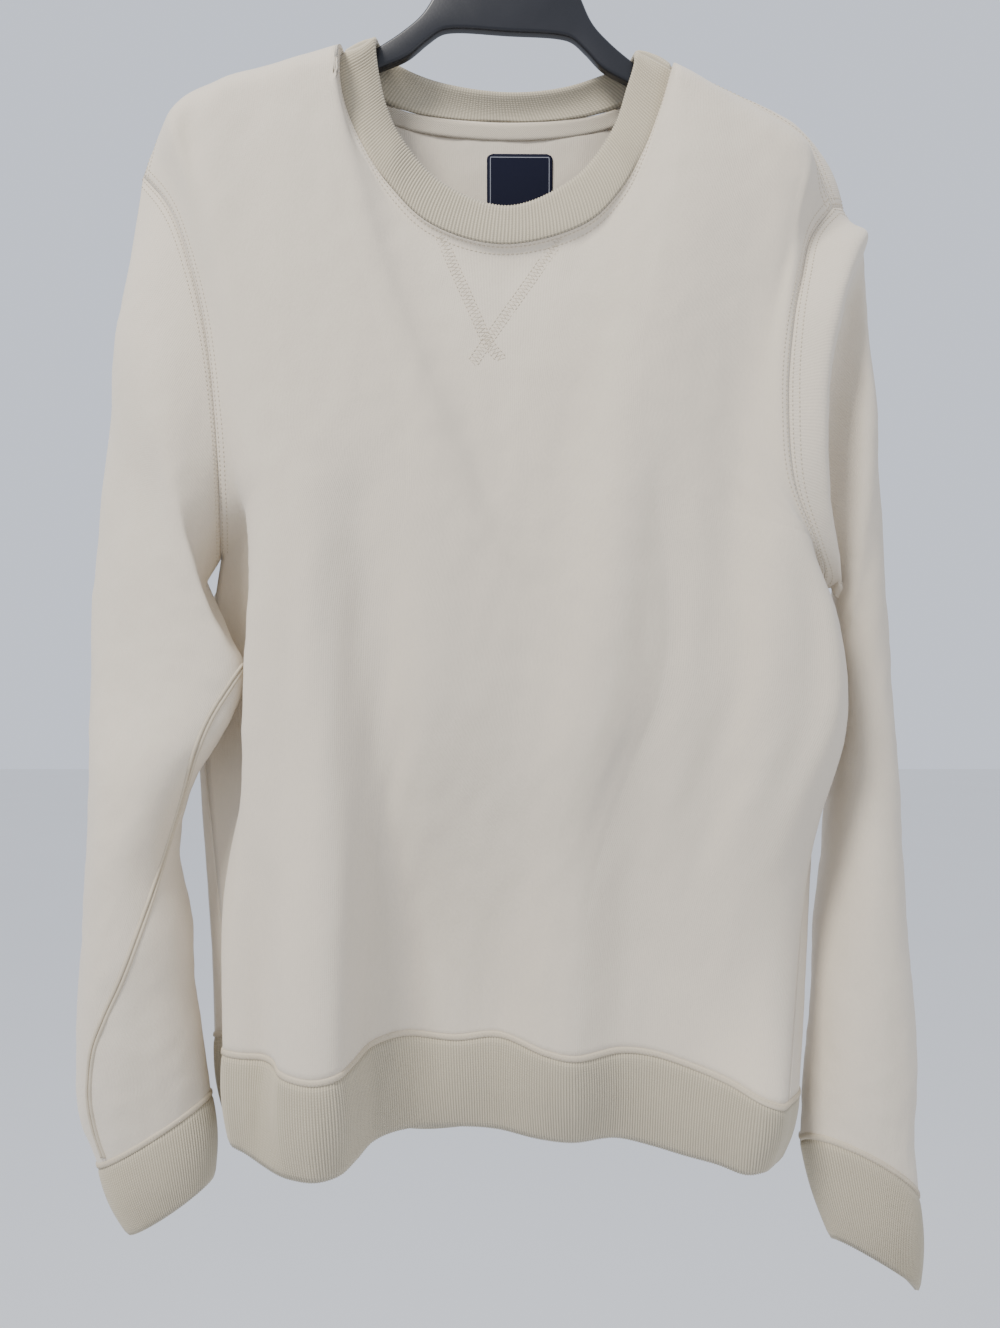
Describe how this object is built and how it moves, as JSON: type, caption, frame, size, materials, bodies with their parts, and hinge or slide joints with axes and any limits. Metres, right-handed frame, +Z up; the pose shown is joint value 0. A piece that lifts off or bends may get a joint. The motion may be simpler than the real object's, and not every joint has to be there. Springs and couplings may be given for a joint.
{
  "type": "crewneck sweatshirt on a clothes hanger",
  "caption": "Long-sleeved crewneck sweatshirt with ribbed collar, cuffs and hem, hanging open on a plain clothes hanger.",
  "frame": {"origin": "crest inside the hanger's hook, where a rail bears", "axes": "+Z up, +X to the viewer's right, the front of the garment faces -Y"},
  "size_m": [0.5503, 0.1284, 0.9455],
  "materials": {
    "fleece": "brushed cream cotton jersey",
    "rib_knit": "cream ribbed knit",
    "tape": "cream herringbone tape",
    "label": "plain navy woven label",
    "hanger": "satin black",
    "hook": "plain steel wire"
  },
  "bodies": {
    "root": {"front": "fleece", "back": "fleece", "sleeve_left": "fleece", "sleeve_right": "fleece", "hem_rib": "rib_knit", "cuff_left": "rib_knit", "cuff_right": "rib_knit", "collar": "rib_knit", "neck_tape": "tape", "label": "label", "hanger": "hanger", "hook": "hook"}
  },
  "joints": []
}
